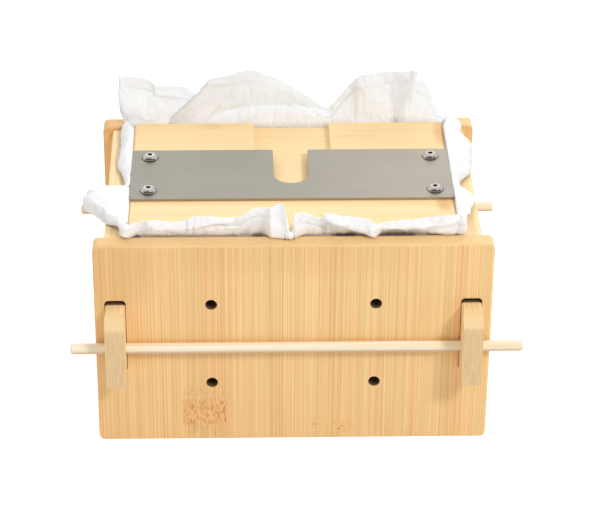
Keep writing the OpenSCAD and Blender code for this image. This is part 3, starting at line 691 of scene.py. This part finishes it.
REAR_FOLDS = [
    (83, 0, (1, 2.2), (3, 3.8), (5, 4.2), (9, 2.4)),
    (80.5, 0, (0.6, 2.6), (2.6, 4.4), (5.2, 5.6), (8, 5.2)),
    (78, 0, (0.5, 3), (3, 6), (5.4, 8.5), (7.2, 10.5)),
    (75.5, 0, (0.5, 4), (3.6, 10), (5.6, 14.5), (7.2, 18.5)),
    (72, 0, (0.4, 5), (4, 12), (6.2, 18), (7.4, 22.5)),
    (67, 0, (0.4, 5), (3.8, 13), (5.8, 19), (7.2, 23.5)),
    (60, 0, (0.3, 5), (4.4, 14), (7.4, 19), (9, 22.5)),
    (55, 1, (0.4, 5), (5, 13), (8.2, 19), (9.6, 23)),
    (58, 2, (0.4, 5), (4.6, 12, 0.5), (7.6, 19, 3), (8.8, 25, 5)),
    (61.5, 2, (0.3, 5), (3.2, 12, 0.8), (5, 20, 4.5), (5.4, 28, 8)),
    (62.5, 3, (0.2, 5), (1.6, 12, 0.2), (2.2, 19, 4), (3, 31.5, 6)),
    (60, 3, (0, 5), (1.8, 13, 0.5), (3.4, 22, 2.5), (4.2, 30.4, 4.6)),
    (57.5, 3, (0, 5), (2.4, 13, 0), (4.8, 22, 1.5), (5.4, 29.4, 2.5)),
    (54.5, 3, (0, 5), (2.8, 13, 0), (5.6, 22, 0.5), (6.2, 29.2, 1)),
    (52, 3, (0, 5), (2.6, 13), (5.2, 22), (6, 29.2)),
    (49.5, 3, (0, 5), (2.2, 13), (4.6, 22), (5.6, 29.2)),
    (46.5, 3, (0, 5), (1.2, 13), (3.2, 22), (4.6, 29)),
    (43, 3, (0, 5), (0.6, 13), (2.4, 21), (4.4, 28.8)),
    (39.5, 3, (0, 5), (0.5, 12), (2.2, 20), (4.4, 28)),
    (37, 3, (0, 5), (0.9, 12), (2.6, 20), (4.4, 27)),
    (35.5, 2, (0.8, 5), (2.4, 12), (3.8, 19), (4.8, 25.2)),
    (32.5, 1, (0.8, 5), (3, 11), (4.6, 17), (5.6, 22)),
    (28.5, 0, (0.6, 4), (2.6, 9), (4.4, 14), (5.6, 17)),
    (24.5, 0, (0.4, 3.5), (2.2, 7), (3.8, 9.6), (4.8, 11.8)),
    (21.5, 0, (0.4, 2.6), (1.8, 4.6), (3.6, 5.6), (4.8, 6.4), (5.4, 8.4)),
    (17.5, 0, (0.5, 2.6), (1.9, 5.2), (4, 6.8), (5.6, 6.6), (5.4, 9.4)),
    (12.5, 0, (0.6, 2.6), (2, 5.8), (4.2, 7.8), (5.8, 7.6), (5.8, 10.6), (7, 13.6)),
    (6, 0, (0.6, 2.6), (2, 6.4), (4.4, 9), (6.2, 8.8), (6, 11.6), (7, 14.4), (8.2, 17)),
    (-2, 0, (0.6, 2.6), (2, 6.6), (4.4, 9.4), (6.2, 9.2), (5.8, 12), (7, 16.8), (9.4, 22)),
    (-7, 0, (0.6, 2.6), (2, 6.8), (4.4, 9.6), (6.2, 9.4), (5.8, 12.4), (7, 17.6), (9.8, 24)),
    (-8.4, 0, (1.6, 2.6), (3.4, 6), (5, 9.2), (6.4, 9.4), (5.9, 12.4), (7.1, 17.8), (9.8, 24.6)),
    (-10, 0, (0.6, 2.6), (2, 6.6), (4.4, 9.6), (6.2, 9.4), (5.8, 12.4), (7, 17.8), (10, 25.4)),
    (-19, 0, (0.6, 2.6), (2, 6.4), (4.4, 9.2), (6.2, 9), (5.7, 12, 0.5), (6.8, 18, 1), (10.2, 28, 2)),
    (-26, 0, (0.6, 2.4), (1.8, 5.6), (4.2, 8.2, 1), (6, 8, 1.5), (5.5, 11.4, 2.4), (6.6, 17.6, 4),
     (10.2, 28.6, 6)),
    (-27.6, 0, (1.6, 2.4), (3.2, 5), (4.8, 7.8, 1), (6, 7.8, 1.6), (5.6, 11.4, 2.6),
     (6.6, 17.6, 4.2), (10.2, 28.6, 6.2)),
    (-29.2, 0, (0.6, 2.4), (1.8, 5.4), (4, 7.6, 1), (5.8, 7.4, 2), (5.4, 11, 3), (6.4, 17.6, 4.6),
     (10, 28.6, 6.6)),
    (-36, 0, (0.6, 2.2), (1.6, 4.6, 1), (3.6, 6.4, 2), (5, 6.6, 3), (4.8, 10, 4.5), (6, 17, 7),
     (9.4, 28.2, 11)),
    (-40.6, 0, (0.6, 2.2), (1.5, 4.2, 1), (3.2, 5.6, 2.4), (4.4, 6.6, 4), (4.6, 10.4, 6),
     (5.8, 17, 9), (8.8, 28, 13.5)),
    (-42, 0, (1.6, 2.2), (2.8, 4, 1), (3.8, 5.6, 2.6), (4.6, 7, 4.2), (4.7, 10.8, 6.4),
     (5.8, 17, 9.4), (8.6, 28, 14.4)),
    (-43.4, 0, (0.6, 2.2), (1.4, 4.2, 1), (2.6, 6, 2.8), (3.8, 7.8, 4.6), (4.4, 11.6, 7),
     (5.6, 17, 10), (8.4, 27.8, 15.4)),
    (-46, 1, (0.8, 5, 2), (1.6, 7, 4), (3.2, 9, 6), (4.6, 16, 10), (7.4, 27.6, 17)),
    (-57, 1, (0.8, 3, 3), (1.6, 6, 5), (2.8, 10, 9), (4.4, 18, 15), (6.4, 27.4, 23)),
    (-66.5, 2, (0.8, 2, 1.5), (1.6, 5.5, 3.2), (2.4, 9.7, 8.1), (3.6, 18, 17), (5, 26, 24)),
    (-60, 1, (1.6, 3), (2.8, 6, 2), (4.2, 9, 5), (5.4, 12, 8), (6.4, 15, 12)),
    (-50, 0, (2.2, 3), (4, 6, 0), (5.6, 9, 0), (7, 12, 0.5), (8, 14.5, 1)),
    (-52.5, 0, (2.2, 3), (4, 6.5), (5.8, 10), (7.2, 13.6, 0.5), (8.2, 17.2, 1)),
    (-56, 0, (2, 3), (3.8, 7), (5.6, 11), (7.2, 15.2, 0.5), (8.2, 19.4, 1)),
    (-61, 0, (1.8, 3), (3.6, 7.5), (5.4, 12), (7, 16.2), (8.2, 20.5)),
    (-67.5, 0, (1.6, 3), (3.4, 7.5), (5.2, 12), (6.8, 16.6), (8, 21.1)),
    (-72, 0, (1.2, 3), (2.8, 8), (4.4, 13), (6.2, 17.6), (7.2, 21.8)),
    (-74.5, 0, (0.8, 4), (2, 8), (3.2, 12, 1), (6.6, 18, 2.5), (7.6, 23.6, 1)),
    (-76, 0, (0.4, 3.5), (2.6, 8), (5, 12), (8.4, 19), (8.4, 25)),
    (-77.5, 0, (0.6, 3.5), (2, 8, -0.6), (3.6, 12, -1.5), (7.4, 19, -3), (7.8, 26.4, -2)),
    (-79, 0, (1.2, 4), (1.8, 8, -1.4), (2.6, 12, -3), (5.2, 19, -5.5), (6.6, 27, -4.5)),
    (-81, 0, (1.8, 4), (2.2, 8, -2), (2.6, 12, -3.5), (4.4, 19, -5), (5.8, 27.2, -5)),
    (-82.5, 0, (2.2, 3.5), (2.6, 8, -2.8), (3, 12, -4.5), (4.2, 19, -5), (5.8, 27.4, -5.5)),
    (-83.8, 0, (4.5, 2.5, -2), (4.6, 7, -3.2), (4.6, 11, -4.2), (5.2, 19, -3.8), (6.2, 27.4, -3.2)),
    (-84.4, 0, (3.5, 1.6, -1), (4.4, 4, -2), (5, 8, -2.6), (5.6, 12, -2.4), (6, 15, -2.2))]
LEFT_FOLDS = [
    (57, 0, (0.6, 1.5), (1.4, 3), (2.4, 3.8), (3.4, 3.4), (4.2, 2.2)),
    (53, 0, (-0.6, 2.6), (-0.2, 4), (1.8, 4.4), (4, 3.2), (5.4, 0.8)),
    (48, 0, (-2.8, 3.2), (-2.4, 4.8), (1, 5), (3.6, 3.6), (5.6, 0.2)),
    (43, 0, (-3, 3.4), (-2.8, 5), (0.4, 5.4), (3, 4), (5, 0.2)),
    (37, 0, (-3, 3.6), (-2.8, 5.4), (0.6, 5.4), (3.2, 3.4), (5, -0.4)),
    (31, 0, (-3, 3.4), (-2.8, 5), (0.2, 5.4), (2.6, 4.2), (5, 0.4)),
    (25, 0, (-3, 3.6), (-2.8, 5.4), (0.6, 5.2), (3.4, 3.4), (5.6, -0.2)),
    (18, 0, (-3, 3.6), (-2.8, 5.2), (0.6, 5.4), (3.4, 4), (5.8, 0.4)),
    (12, 0, (-3, 3.4), (-2.8, 5), (0.4, 5.2), (3.2, 3.6), (5.6, 0)),
    (6.5, 0, (-3, 3.2), (-2.8, 4.6), (0, 4.8), (2.2, 3.6), (4, 0.6)),
    (1, 0, (-3, 2.8), (-2.8, 4), (-0.4, 4.4), (1.2, 3.4), (2.4, 0.8)),
    (-4, 0, (-3, 2.6), (-2.6, 3.8), (-0.6, 4.2), (0.6, 3.2), (1.4, 1)),
    (-8, 0, (-2.8, 2.6), (-2.6, 3.8), (-0.6, 4.2), (0.4, 3), (0.8, 1.2)),
    (-12.5, 0, (-2.8, 2.6), (-2.4, 3.8), (-0.2, 4.2), (0.8, 3.4), (1.4, 2.2)),
    (-14.5, 0, (-2.8, 3), (0.4, 4.2), (3, 4.4), (5.5, 3.8), (7, 2.8)),
    (-15.6, 0, (-2.8, 3.2), (3, 4.6), (8, 4.8), (13, 4.4), (17, 2.8)),
    (-16.8, 0, (-2.8, 3.6), (4, 5.2), (10, 5.6), (15.5, 5), (20, 2.2)),
    (-20, 0, (-3, 3.8), (4, 5.4), (11, 5.8), (17, 4.6), (21.5, 0.6)),
    (-24.5, 0, (-3, 3.8), (4, 5.2), (11, 5.6), (17, 4), (21.6, -1)),
    (-28, 0, (-3, 3.8), (4, 4.8), (10.5, 5), (16.5, 3.2), (20.6, -2.2)),
    (-32, 0, (-3, 3.8), (3.6, 4.4), (9, 4.4), (13.8, 2.8), (16.8, -2.4)),
    (-35.5, 0, (-3, 3.6), (3, 4.2), (7.6, 4.2), (11.6, 2.8), (13.8, -2.2)),
    (-40, 0, (-3, 3.4), (2.4, 4.4), (6.4, 4.4), (9.8, 3.2), (12, -1.6)),
    (-44.5, 0, (-2.8, 3.2), (1.8, 4.2), (5, 4.6), (8, 4), (10.2, -0.8)),
    (-47.5, 0, (-2.4, 2.8), (0.8, 3.8), (2.8, 4.2), (4.8, 3.4), (5.6, 0.2)),
    (-50.5, 0, (-0.6, 2), (0.4, 3.2), (1.4, 3.8), (2.6, 3), (3, 1)),
    (-53, 0, (0.2, 1.2), (1.4, 2.4), (1, 3.6), (2.4, 4.8), (2.4, 5.8)),
    (-55.5, 0, (0.8, 1), (2.2, 2.4), (1.4, 4), (2.8, 5.2), (2.2, 6.8)),
    (-57.8, 0, (1.6, 1), (3, 2.4), (2, 4.2), (3.2, 6), (2.4, 8))]
# Each side: its folds, the direction that points out, and whether its place runs up or down
SIDES = [(FRONT_FOLDS, -90, 1), (RIGHT_FOLDS, 0, 1), (REAR_FOLDS, 90, -1), (LEFT_FOLDS, 180, -1)]


def rim_point(side, along, out, up, shift=0.0):
    """A point beside the upper inner edge of one side of the box."""
    _, facing, order = SIDES[side]
    half, off = (INNER_X, INNER_Y) if side % 2 == 0 else (INNER_Y, INNER_X)
    ahead = max(0.0, 1 - (half - along * order) / CORNER_RUN)
    behind = max(0.0, 1 - (half + along * order) / CORNER_RUN)
    angle = math.radians(facing + 45 * (ahead ** 2 - behind ** 2))
    turned = math.radians(facing)
    normal = (math.cos(turned), math.sin(turned))
    along += shift
    place = (along, off * normal[1]) if side % 2 == 0 else (off * normal[0], along)
    return (place[0] + out * math.cos(angle), place[1] + out * math.sin(angle), RIM_Z + up)


def floor_places(folds, half, order):
    """Where each fold of one side starts on the floor: spread evenly by the cloth between them."""
    along = [-half * order] + [fold[0] for fold in folds]
    steps = np.abs(np.diff(along))
    return (-half + 2 * half * np.cumsum(steps) / steps.sum()) * order


# Heights from the rim where a section is gathered and where it meets the wall's edge, and how far
# it still leans towards its place on the floor at the first of them
GATHERED_UP = -8
EDGE_UP = -1
LEAN = 0.07


def control_sections():
    """One row of points for each fold: on the floor, below the rim, at the rim and above it."""
    sections = []
    for side, (folds, _, order) in enumerate(SIDES):
        half = INNER_X if side % 2 == 0 else INNER_Y
        floor = floor_places(folds, half, order)
        for (along, layer, *shape), start in zip(folds, floor):
            inset = -WALL_GAP - layer * LAYER_GAP
            below = along * (1 - LEAN) + start * LEAN
            points = [rim_point(side, start, -WALL_GAP, FLOOR_Z - RIM_Z),
                      rim_point(side, below, inset, GATHERED_UP), rim_point(side, along, inset, EDGE_UP)]
            points += [rim_point(side, along, *point) for point in shape]
            sections.append(np.array(points))
    return sections


WALL_ROWS = 12
RIM_ROWS = 36
STEP_AROUND = 0.95
CREASE_PASSES = 2


def resample(line, count):
    """The same line with its points evenly spaced."""
    steps = np.linalg.norm(np.diff(line, axis=0), axis=1)
    length = np.concatenate([[0], np.cumsum(steps)])
    spots = np.linspace(0, length[-1], count)
    return np.stack([np.interp(spots, length, line[:, k]) for k in range(3)], axis=1)


def section_rows(points):
    """All rows of one section: up the wall, then over the rim to the free edge."""
    wall = [points[0] + (points[1] - points[0]) * k / WALL_ROWS for k in range(WALL_ROWS)]
    return np.concatenate([np.array(wall), resample(points[1:], RIM_ROWS)])


def soften(grid):
    """Rounds the creases of the grid a little, and leaves its free edge and its foot in place."""
    for _ in range(CREASE_PASSES):
        grid = 0.5 * grid + 0.25 * (np.roll(grid, 1, axis=0) + np.roll(grid, -1, axis=0))
        inner = 0.5 * grid[:, 1:-1] + 0.25 * (grid[:, :-2] + grid[:, 2:])
        grid = np.concatenate([grid[:, :1], inner, grid[:, -1:]], axis=1)
    return grid


def cloth_grid():
    """The cloth as an array of columns round the box, rows up the section and coordinates."""
    sections = np.array([section_rows(points) for points in control_sections()])
    columns = []
    for start, end in zip(sections, np.roll(sections, -1, axis=0)):
        count = max(1, round(np.linalg.norm(end - start, axis=1).max() / STEP_AROUND))
        columns += [start + (end - start) * k / count for k in range(count)]
    return soften(np.array(columns))


FREE_FROM = WALL_ROWS - 2
SETTLE_SCALE = 0.01
SETTLE_FRAMES = 16
SETTLE_GROWTH = 0.03
HELD_ROWS = 3
HOLD_FOOT = 0.4
HOLD_EDGE = 0.1


def settle(grid):
    """Lets the rim of the cloth buckle into small creases, held near where it was laid."""
    count, rows = grid.shape[:2]
    free = rows - FREE_FROM
    data = bpy.data.meshes.new("settling")
    verts = [Vector(p) * SETTLE_SCALE for column in grid for p in column[FREE_FROM:]]
    faces = [(i * free + j, i * free + j + 1, n * free + j + 1, n * free + j)
             for i, n in zip(range(count), [*range(1, count), 0]) for j in range(free - 1)]
    data.from_pydata(verts, [], faces)
    data.update()
    obj = bpy.data.objects.new("settling", data)
    bpy.context.scene.collection.objects.link(obj)
    hold = obj.vertex_groups.new(name="hold")
    for j in range(free):
        share = max(0.0, (j - HELD_ROWS) / (free - HELD_ROWS - 1))
        weight = 1.0 if j <= HELD_ROWS else HOLD_EDGE + HOLD_FOOT * (1 - share) ** 2
        hold.add([i * free + j for i in range(count)], weight, "REPLACE")
    cloth = obj.modifiers.new("settling", "CLOTH")
    settings = cloth.settings
    settings.quality = 6
    settings.mass = 0.1
    settings.vertex_group_mass = "hold"
    settings.pin_stiffness = 0.6
    settings.tension_stiffness = 30
    settings.compression_stiffness = 30
    settings.shear_stiffness = 10
    settings.bending_stiffness = 0.02
    settings.shrink_min = -SETTLE_GROWTH
    settings.effector_weights.gravity = 0
    cloth.collision_settings.use_collision = False
    cloth.point_cache.frame_start = 1
    cloth.point_cache.frame_end = SETTLE_FRAMES
    scene = bpy.context.scene
    for step in range(1, SETTLE_FRAMES + 1):
        scene.frame_set(step)
    seen = obj.evaluated_get(bpy.context.evaluated_depsgraph_get())
    found = np.array([v.co for v in seen.data.vertices]).reshape(count, free, 3) / SETTLE_SCALE
    scene.frame_set(1)
    bpy.data.objects.remove(obj)
    bpy.data.meshes.remove(data)
    return np.concatenate([grid[:, :FREE_FROM], found], axis=1)


RIM_ROW = WALL_ROWS + 4


def measures(grid):
    """Length of cloth round the rim up to each column, and up each column to each row."""
    rim = grid[:, RIM_ROW]
    around = np.concatenate([[0], np.cumsum(np.linalg.norm(np.diff(rim, axis=0), axis=1))])
    steps = np.linalg.norm(np.diff(grid, axis=1), axis=2)
    up = np.concatenate([np.zeros((len(grid), 1)), np.cumsum(steps, axis=1)], axis=1)
    return around, up


def grid_normals(grid):
    across = np.roll(grid, -1, axis=0) - np.roll(grid, 1, axis=0)
    upward = np.gradient(grid, axis=1)
    normal = np.cross(across, upward)
    return normal / np.maximum(np.linalg.norm(normal, axis=2, keepdims=True), 1e-9)


def crumple(u, v, scale_u, scale_v, seed):
    return noise.noise(Vector((u / scale_u, v / scale_v, seed)))


# Creases grow to their full depth over this length above the wall, after this share of it
CREASE_RISE = 5
CREASE_START = 0.4
# How deep each kind of crease is, and the sizes of the hem's seam
UPRIGHT_CREASE = 0.24
SLANTED_CREASE = 0.24
SMALL_CREASE = 0.12
SEAM_DEPTH = 0.2
SEAM_WIDTH = 0.6
PUCKER_DEPTH = 0.12
PUCKER_WIDTH = 1.8
PUCKER_STEP = 2.6


def wrinkle(grid):
    """Adds soft creases above the rim, and the puckers along the hem's seam."""
    around, up = measures(grid)
    normal = grid_normals(grid)
    edge = up[:, -1:] - up
    height = np.clip((up - up[:, WALL_ROWS:WALL_ROWS + 1]) / CREASE_RISE - CREASE_START, 0, 1)
    push = np.zeros(up.shape)
    for i, u in enumerate(around):
        for j in range(WALL_ROWS, grid.shape[1]):
            v = up[i, j]
            bend = 3 * crumple(u, v, 12, 9, 2.2)
            upright = 0.5 - 2 * abs(crumple(u + bend, v, 5.5, 26, 0.3))
            slanted = 0.5 - 2 * abs(crumple(u + 0.6 * v, v - 0.5 * u, 9, 14, 7.7))
            small = crumple(u, v, 2.6, 4.5, 5.1)
            push[i, j] = UPRIGHT_CREASE * upright + SLANTED_CREASE * slanted + SMALL_CREASE * small
    seam = np.exp(-((edge - HEM) / SEAM_WIDTH) ** 2)
    pucker = np.sin(around[:, None] * math.tau / PUCKER_STEP) * np.exp(-((edge - HEM) / PUCKER_WIDTH) ** 2)
    push += PUCKER_DEPTH * pucker - SEAM_DEPTH * seam
    return grid + (height * push)[:, :, None] * normal


AIR = 0.08
SHAFT_DEPTH = 14
WALL_SLACK = 0.2
PANEL_OVERHANG = 5.5
# From this far below a wall's top the cloth is lifted onto it
ON_RIM = 0.9


def keep_clear(grid):
    """Keeps the cloth out of the lid's shaft and above the walls that it lies on."""
    x, y, z = (grid[:, :, k] for k in range(3))
    half = THICKNESS / 2 + AIR
    above = z > RIM_Z - SHAFT_DEPTH
    inside = above & (abs(x) < LID_X + half) & (abs(y) < LID_Y + half)
    to_x = LID_X + half - abs(x)
    to_y = LID_Y + half - abs(y)
    x = np.where(inside & (to_x < to_y), np.sign(x) * (LID_X + half), x)
    y = np.where(inside & (to_x >= to_y), np.sign(y) * (LID_Y + half), y)
    wall = (abs(y) > INNER_Y - WALL_SLACK) & (abs(y) < INNER_Y + WALL_T + half)
    wall &= abs(x) < INNER_X + WALL_T + PANEL_OVERHANG + half
    z = np.where(wall & (z > RIM_Z - ON_RIM), np.maximum(z, RIM_Z + half), z)
    side = (abs(x) > INNER_X - WALL_SLACK) & (abs(x) < INNER_X + WALL_T + half) & (abs(y) < INNER_Y)
    z = np.where(side & (z > RIM_Z - SIDE_RIM_DROP - ON_RIM), np.maximum(z, RIM_Z - SIDE_RIM_DROP + half), z)
    return np.stack([x, y, z], axis=2)


FLOOR_RINGS = 5
FLOOR_STEP = 0.17


def cloth_mesh(grid):
    """A mesh of the grid, closed by the lining's floor. Its UV map holds lengths of cloth."""
    count, rows = grid.shape[:2]
    around, up = measures(grid)
    data = bpy.data.meshes.new("straining_cloth")
    verts = [Vector(p) * MM for column in grid for p in column]
    faces = []
    for i in range(count):
        n = (i + 1) % count
        for j in range(rows - 1):
            faces.append((i * rows + j, i * rows + j + 1, n * rows + j + 1, n * rows + j))
    start = [i * rows for i in range(count)]
    for ring in range(1, FLOOR_RINGS + 1):
        share = 1 - FLOOR_STEP * ring
        loop = list(range(len(verts), len(verts) + count))
        for i in range(count):
            foot = grid[i, 0]
            verts.append(Vector((foot[0] * share, foot[1] * share, foot[2])) * MM)
        faces += [(start[i], start[(i + 1) % count], loop[(i + 1) % count], loop[i]) for i in range(count)]
        start = loop
    faces.append(tuple(start))
    data.from_pydata(verts, [], faces)
    layer = data.uv_layers.new(name="cloth")
    for face in data.polygons:
        for loop in face.loop_indices:
            vertex = data.loops[loop].vertex_index
            if vertex < count * rows:
                i, j = divmod(vertex, rows)
                wrap = around[-1] if i == 0 and face.vertices[0] // rows == count - 1 else around[i]
                layer.data[loop].uv = (wrap * MM, up[i, j] * MM)
            else:
                layer.data[loop].uv = data.vertices[vertex].co.xy
    data.shade_smooth()
    return data


def make_cloth(finish):
    grid = wrinkle(cloth_grid())
    grid = settle(grid)
    grid = keep_clear(grid)
    obj = new_object("straining_cloth", cloth_mesh(grid), finish, "box")
    body = obj.modifiers.new("cloth_body", "SOLIDIFY")
    body.thickness = THICKNESS * MM
    body.offset = 0
    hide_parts("cloth_lining", "cloth_rim")
    return obj, grid


STITCH_STEP = 2.4
STITCH_LENGTH = 1.5
STITCH_THICKNESS = 0.24
STITCH_SIDES = 8
# How thick a stitch is at its ends, and how far its ends and its middle stand out of the cloth
END_SHARE = 0.55
END_OUT = 0.02
MIDDLE_OUT = 0.13


def make_stitches(grid, finish):
    """Short threads along the hem's seam, standing a little out of both faces of the cloth."""
    up = measures(grid)[1]
    edge = up[:, -1:] - up
    seam = np.array([[np.interp(-HEM, -edge[i], grid[i, :, k]) for k in range(3)] for i in range(len(grid))])
    seam = np.concatenate([seam, seam[:1]])
    length = np.concatenate([[0], np.cumsum(np.linalg.norm(np.diff(seam, axis=0), axis=1))])
    normal = grid_normals(grid)
    mesh = bmesh.new()
    for start in np.arange(0, length[-1] - STITCH_STEP, STITCH_STEP):
        spots = [start + STITCH_LENGTH * k / 3 for k in range(4)]
        line = [Vector([np.interp(s, length, seam[:, k]) for k in range(3)]) for s in spots]
        along = (line[-1] - line[0]).normalized()
        column = min(int(np.searchsorted(length, start)), len(grid) - 1)
        row = int(np.argmin(abs(edge[column] - HEM)))
        face = Vector(normal[column, row])
        side = along.cross(face).normalized()
        face = side.cross(along).normalized()
        rings = []
        for k, middle in enumerate(line):
            at_end = k in (0, len(line) - 1)
            across = side * (STITCH_THICKNESS * (END_SHARE if at_end else 1.0))
            out = face * (THICKNESS / 2 + (END_OUT if at_end else MIDDLE_OUT))
            rings.append([mesh.verts.new((middle + across * math.cos(a) + out * math.sin(a)) * MM)
                          for a in (math.tau * n / STITCH_SIDES for n in range(STITCH_SIDES))])
        for lower, upper in zip(rings, rings[1:]):
            for n in range(STITCH_SIDES):
                after = (n + 1) % STITCH_SIDES
                mesh.faces.new((lower[n], lower[after], upper[after], upper[n]))
        mesh.faces.new(rings[0][::-1])
        mesh.faces.new(rings[-1])
    data = bpy.data.meshes.new("hem_stitches")
    mesh.to_mesh(data)
    mesh.free()
    data.shade_smooth()
    return new_object("hem_stitches", data, finish, "box")


# Studio

SKY_LOW = 0.15
SKY_HIGH = 0.79
SKY_BEHIND = 1.8
# Each lamp: its place in metres, its width and its power
LAMPS = {"key": ((1.5, -1.82, 2.29), 0.63, 41.0), "fill": ((-1.2, -1.0, 1.0), 1.0, 3.0)}
LAMP_AIM = (0, 0, 0.06)
FLOOR_GLOW = 0.4


def make_studio():
    """A tent of light, brighter overhead and behind. The camera and shiny faces see it plain white."""
    world = bpy.data.worlds.new("studio")
    bpy.context.scene.world = world
    world.use_nodes = True
    sky = Nodes(world.node_tree)
    aim = sky.parts("Generated")
    overhead = sky.spread(aim[2], 0.0, 0.9, SKY_LOW, SKY_HIGH)
    behind = sky.spread(aim[1], 0.3, 0.95, 0.0, SKY_BEHIND)
    light = sky.math("ADD", overhead, behind)
    level = sky.add("ShaderNodeMix", {0: sky.seen(), 2: light, 3: 1.0}, 0, data_type="FLOAT")
    background = world.node_tree.nodes["Background"]
    background.inputs["Color"].default_value = (1, 1, 1, 1)
    sky.feed(background.inputs["Strength"], level)
    for name, lamp in LAMPS.items():
        add_lamp(name, *lamp)
    make_floor()


def add_lamp(name, place, size, power):
    data = bpy.data.lights.new(name, "AREA")
    data.shape = "DISK"
    data.size = size
    data.energy = power
    lamp = bpy.data.objects.new(name, data)
    bpy.context.scene.collection.objects.link(lamp)
    lamp.location = place
    aim = Vector(LAMP_AIM) - Vector(place)
    lamp.rotation_euler = aim.to_track_quat("-Z", "Y").to_euler()


def make_floor():
    """A pale floor that the camera sees as white, apart from the object's soft shadow."""
    mesh = bmesh.new()
    bmesh.ops.create_grid(mesh, x_segments=8, y_segments=8, size=2.5)
    data = bpy.data.meshes.new("studio_floor")
    mesh.to_mesh(data)
    mesh.free()
    floor = bpy.data.objects.new("studio_floor", data)
    bpy.context.scene.collection.objects.link(floor)
    finish = Finish("studio_floor")
    grain = finish.noise(finish.place((0.004, 0.004, 0.004)), 2.0)
    finish.set(Base_Color=finish.mix(grain, colour(244, 244, 244), colour(240, 240, 240)), Roughness=0.9)
    finish.shader.inputs["Emission Color"].default_value = (1, 1, 1, 1)
    finish.feed(finish.shader.inputs["Emission Strength"], finish.times(finish.seen(), FLOOR_GLOW))
    dress(floor, finish)


bpy.context.scene.view_settings.view_transform = "Standard"
make_camera()
dress_boards()
dress(nodes["slotted_steel_plate"], brushed_steel())
dress(nodes["threaded_inserts"], insert_brass())
make_screws(polished_steel())
cloth, cloth_points = make_cloth(cotton("straining_cotton", (252, 253, 255), (247, 249, 252)))
stitches = make_stitches(cloth_points, cotton("hem_thread", (246, 246, 244), (236, 236, 234)))
make_studio()
